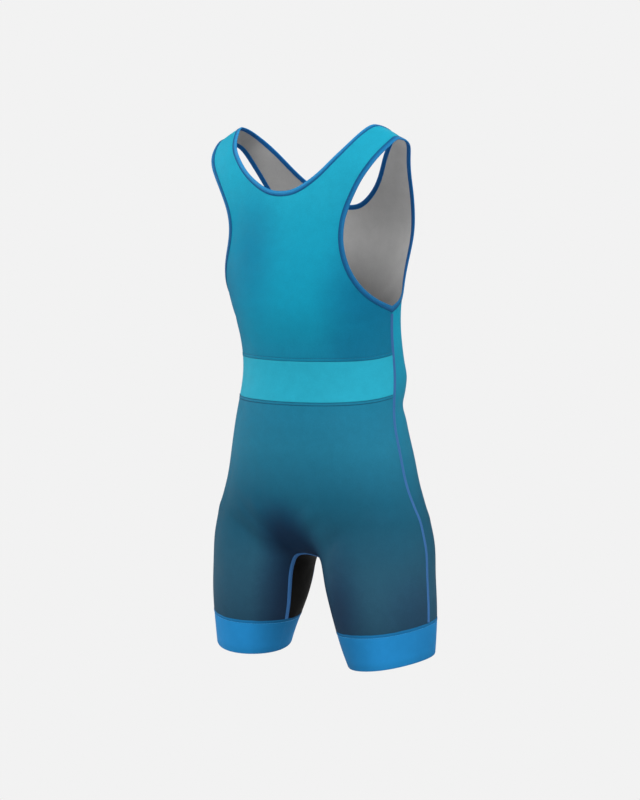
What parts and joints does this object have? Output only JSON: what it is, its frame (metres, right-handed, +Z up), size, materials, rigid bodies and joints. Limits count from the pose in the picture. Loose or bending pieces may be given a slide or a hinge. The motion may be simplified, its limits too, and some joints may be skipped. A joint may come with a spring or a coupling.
{
  "type": "wrestling singlet",
  "caption": "Sleeveless one-piece athletic suit in stretch knit, filled out: scoop neck, open armholes, waist insert, short legs with cuffs, dark gusset.",
  "frame": {"origin": "middle between the shoulders, at the top of the two straps, where the singlet hangs on the shoulders", "axes": "+Z up, -Y to the wearer's front, +X to the wearer's left"},
  "size_m": [0.411, 0.2209, 0.8251],
  "materials": {
    "gradient_knit_front": "smooth stretch knit, cyan above darkening to teal, soft sheen",
    "gradient_knit_back": "smooth stretch knit, cyan above darkening to dark slate teal, soft sheen",
    "lower_knit": "smooth stretch knit, dark teal darkening downwards, soft sheen",
    "waistband_knit": "smooth stretch knit, plain turquoise",
    "gusset_knit": "matt black stretch knit",
    "cuff_knit": "smooth bright blue stretch band",
    "binding": "folded blue edge binding, matt",
    "seam": "flat stitched blue seam"
  },
  "bodies": {
    "root": {"front_bib": "gradient_knit_front", "back_panel": "gradient_knit_back", "front_lower": "lower_knit", "waistband_front": "waistband_knit", "gusset": "gusset_knit", "cuff_left": "cuff_knit", "cuff_right": "cuff_knit", "neck_binding": "binding", "armhole_binding_left": "binding", "armhole_binding_right": "binding", "side_seam_left": "seam", "side_seam_right": "seam", "gusset_seam_front": "seam", "gusset_seam_back": "seam"}
  },
  "joints": []
}
